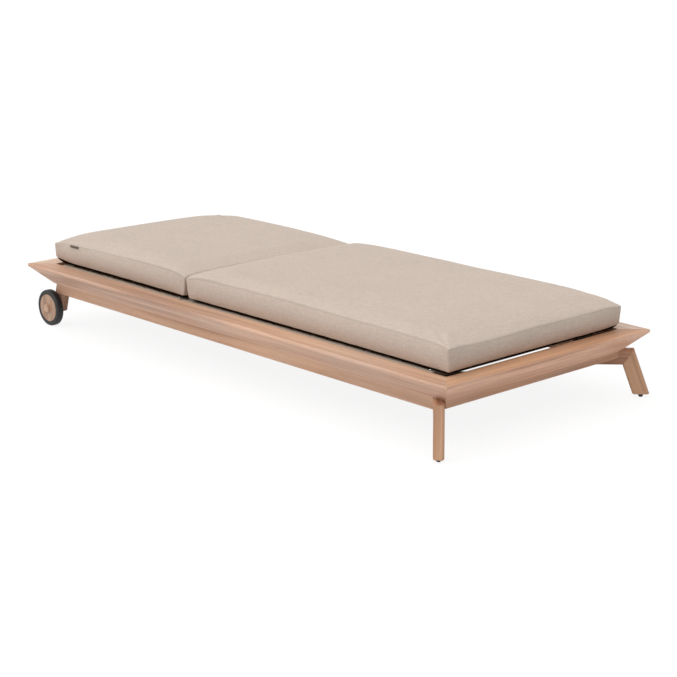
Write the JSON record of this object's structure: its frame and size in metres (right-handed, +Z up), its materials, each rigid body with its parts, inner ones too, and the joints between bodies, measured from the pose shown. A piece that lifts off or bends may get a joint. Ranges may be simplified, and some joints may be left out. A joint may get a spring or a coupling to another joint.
{
  "type": "sun lounger",
  "caption": "Low teak sun lounger with a mitred undercut rim, splayed foot legs, head wheels, a hinged back on a folding prop and a box cushion in two parts.",
  "frame": {"origin": "middle of the plan outline at floor level, under the glides and tyres", "axes": "+X along the lounger towards the foot end, +Y towards the far side rail, +Z up"},
  "size_m": [2, 0.92, 0.32],
  "materials": {
    "teak": "oiled, fine grain",
    "taupe_coating": "matt powder coat",
    "steel": "brushed",
    "tyre": "matt rubber",
    "black_plastic": "matt",
    "bush_plastic": "matt",
    "cushion_fabric": "woven outdoor cloth"
  },
  "bodies": {
    "frame": {"rim_rail_head": "teak", "rim_rail_foot": "teak", "rim_rail_near": "teak", "rim_rail_far": "teak", "side_beam_near": "teak", "side_beam_far": "teak", "head_beam": "teak", "foot_beam": "teak", "foot_brace_near": "teak", "foot_brace_far": "teak", "foot_leg_arm_near": "teak", "foot_leg_arm_far": "teak", "foot_leg_post_near": "teak", "foot_leg_post_far": "teak", "foot_glides": "black_plastic", "leg_bolts": "steel", "head_leg_near": "teak", "head_leg_far": "teak", "head_leg_bolts": "steel", "axle_bolts": "steel", "axle_nuts": "steel", "wheel_spacers": "steel", "seat_stile_near": "taupe_coating", "seat_stile_far": "taupe_coating", "seat_rail_head": "taupe_coating", "seat_rail_foot": "taupe_coating", "seat_slats": "teak", "seat_spine": "taupe_coating", "cross_bearers": "teak", "deck_pads": "black_plastic", "hinge_pins": "steel", "notch_rail_near": "teak", "notch_rail_far": "teak", "rail_screws": "steel", "seat_cushion": "cushion_fabric"},
    "back_deck": {"back_stile_near": "taupe_coating", "back_stile_far": "taupe_coating", "back_rail_foot": "taupe_coating", "back_rail_head": "taupe_coating", "back_mid_rail": "taupe_coating", "back_slats": "teak", "prop_brackets": "steel", "prop_pins": "steel"},
    "prop": {"prop_arm_near": "steel", "prop_arm_far": "steel", "prop_bar": "steel"},
    "wheel_near": {"wheel_disc_near": "teak", "tyre_near": "tyre", "wheel_bush_near": "bush_plastic", "hub_cap_near": "teak"},
    "wheel_far": {"wheel_disc_far": "teak", "tyre_far": "tyre", "wheel_bush_far": "bush_plastic", "hub_cap_far": "teak"},
    "back_cushion": {"back_cushion": "cushion_fabric"}
  },
  "joints": [
    {"name": "back_recline", "type": "hinge", "parent": "frame", "child": "back_deck", "pos_m": [-0.2575, 0, 0.203], "axis": [0, 1, 0], "range_deg": [0, 60]},
    {"name": "prop_fold", "type": "hinge", "parent": "back_deck", "child": "prop", "pos_m": [-0.5575, 0, 0.179], "axis": [0, 1, 0], "range_deg": [-120, 0]},
    {"name": "back_cushion_shift", "type": "slide", "parent": "back_deck", "child": "back_cushion", "axis": [-1, 0, 0], "range_m": [0, 0.1135]},
    {"name": "wheel_near_spin", "type": "hinge", "parent": "frame", "child": "wheel_near", "pos_m": [-0.93735, -0.39, 0.0625], "axis": [0, 1, 0], "continuous": true},
    {"name": "wheel_far_spin", "type": "hinge", "parent": "frame", "child": "wheel_far", "pos_m": [-0.93735, 0.39, 0.0625], "axis": [0, 1, 0], "continuous": true}
  ],
  "couplings": [
    {"joint": "prop_fold", "follows": "back_recline", "ratio": -2},
    {"joint": "back_cushion_shift", "follows": "back_recline", "m_per_rad": 0.108}
  ]
}
